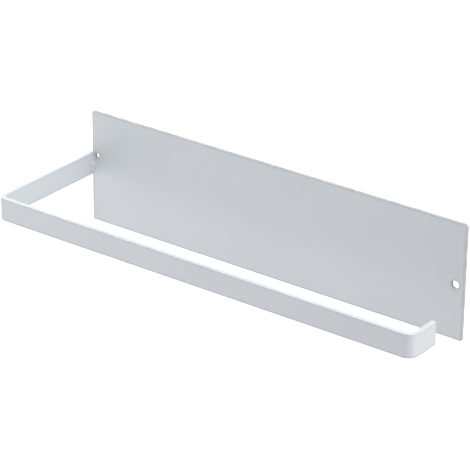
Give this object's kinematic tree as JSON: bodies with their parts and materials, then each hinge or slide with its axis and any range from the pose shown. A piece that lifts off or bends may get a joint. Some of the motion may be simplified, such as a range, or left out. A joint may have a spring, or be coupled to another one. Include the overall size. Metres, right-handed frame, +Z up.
{
  "type": "wall-mounted roll holder",
  "caption": "Wall-mounted kitchen roll holder: a thin rectangular steel plate with a flat strip bent into an arm, a long bar and a short return lip, powder coated.",
  "frame": {"origin": "middle of the wall plate's back face, on the wall", "axes": "+X along the bar towards its open end with the lip, +Y into the wall, +Z up; the bar stands out towards -Y"},
  "size_m": [0.305, 0.091, 0.0754],
  "materials": {
    "powder_coat": "pale cool grey powder coat on mild steel, fine orange peel, semi-matt"
  },
  "bodies": {
    "root": {"wall_plate": "powder_coat", "bent_strip": "powder_coat", "corner_weld": "powder_coat", "seam_weld": "powder_coat"}
  },
  "joints": []
}
